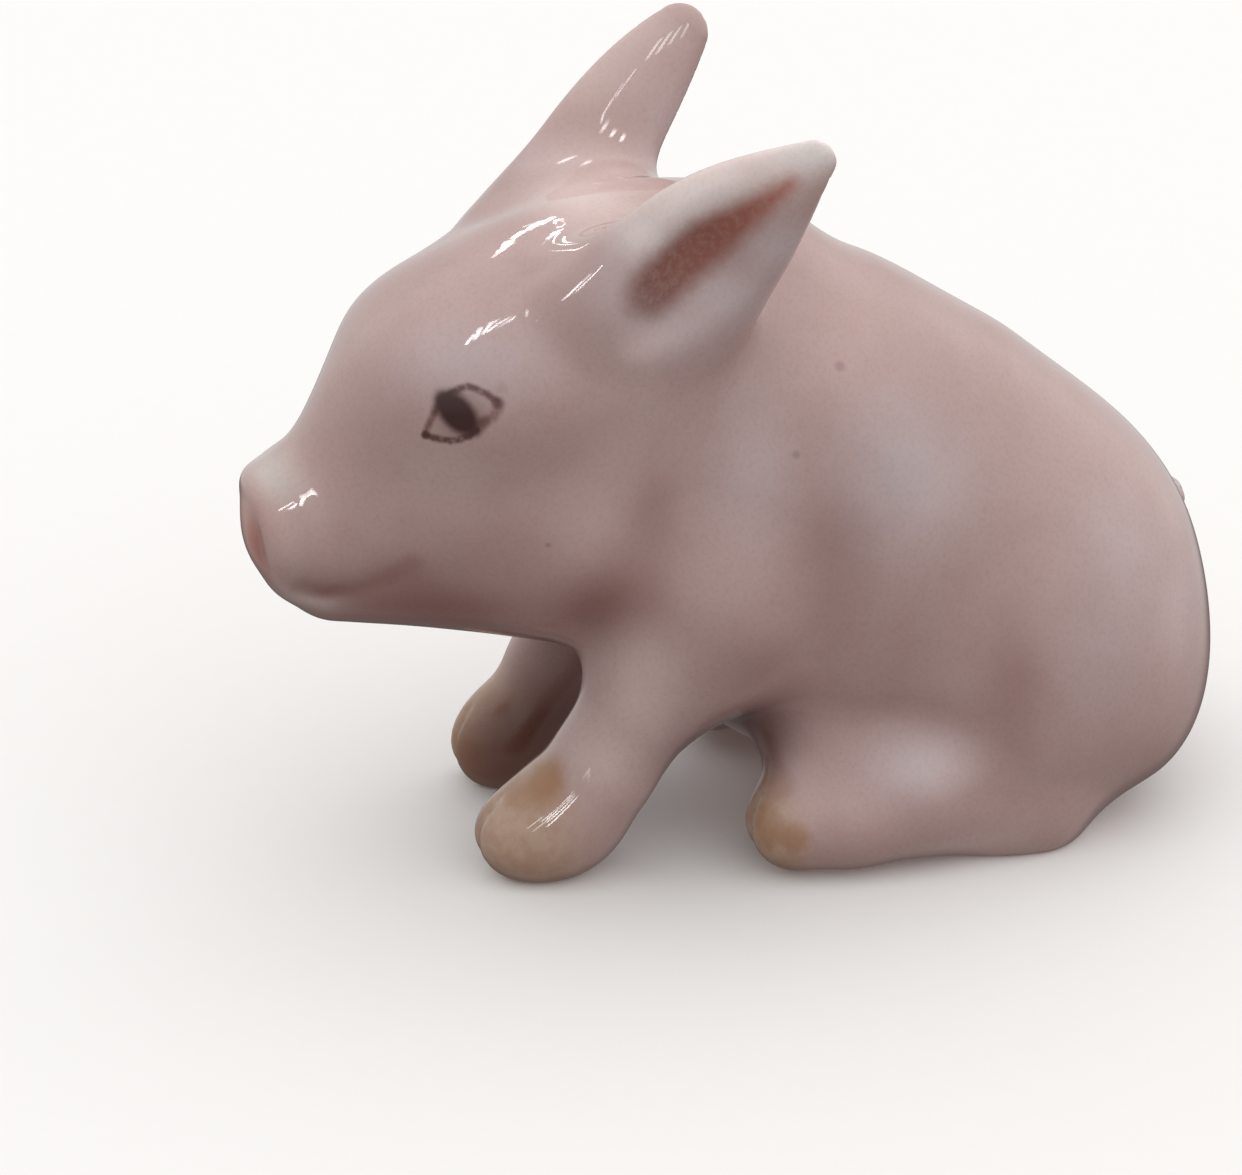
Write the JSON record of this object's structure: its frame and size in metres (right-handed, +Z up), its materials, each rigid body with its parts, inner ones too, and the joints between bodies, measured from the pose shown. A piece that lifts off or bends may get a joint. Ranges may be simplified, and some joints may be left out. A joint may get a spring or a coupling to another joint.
{
  "type": "ceramic pig figurine",
  "caption": "Miniature glazed ceramic piglet sitting on its haunches with ears raised and forefeet set forward, a shelf ornament.",
  "frame": {"origin": "middle of the figurine's box, on the ground plane under it", "axes": "+Z up, -Y the way the snout points, +X the pig's left side"},
  "size_m": [0.0142, 0.0326, 0.0258],
  "materials": {
    "body_glaze": "glossy clear glaze over airbrushed pinkish beige",
    "ear_glaze": "glossy clear glaze, brown shading painted in the hollow of the ear",
    "leg_glaze": "glossy clear glaze, ochre brown washed over the hooves"
  },
  "bodies": {
    "root": {"torso": "body_glaze", "head": "body_glaze", "left_ear": "ear_glaze", "right_ear": "ear_glaze", "left_foreleg": "leg_glaze", "right_foreleg": "leg_glaze", "left_hind_leg": "leg_glaze", "right_hind_leg": "leg_glaze", "tail": "body_glaze"}
  },
  "joints": []
}
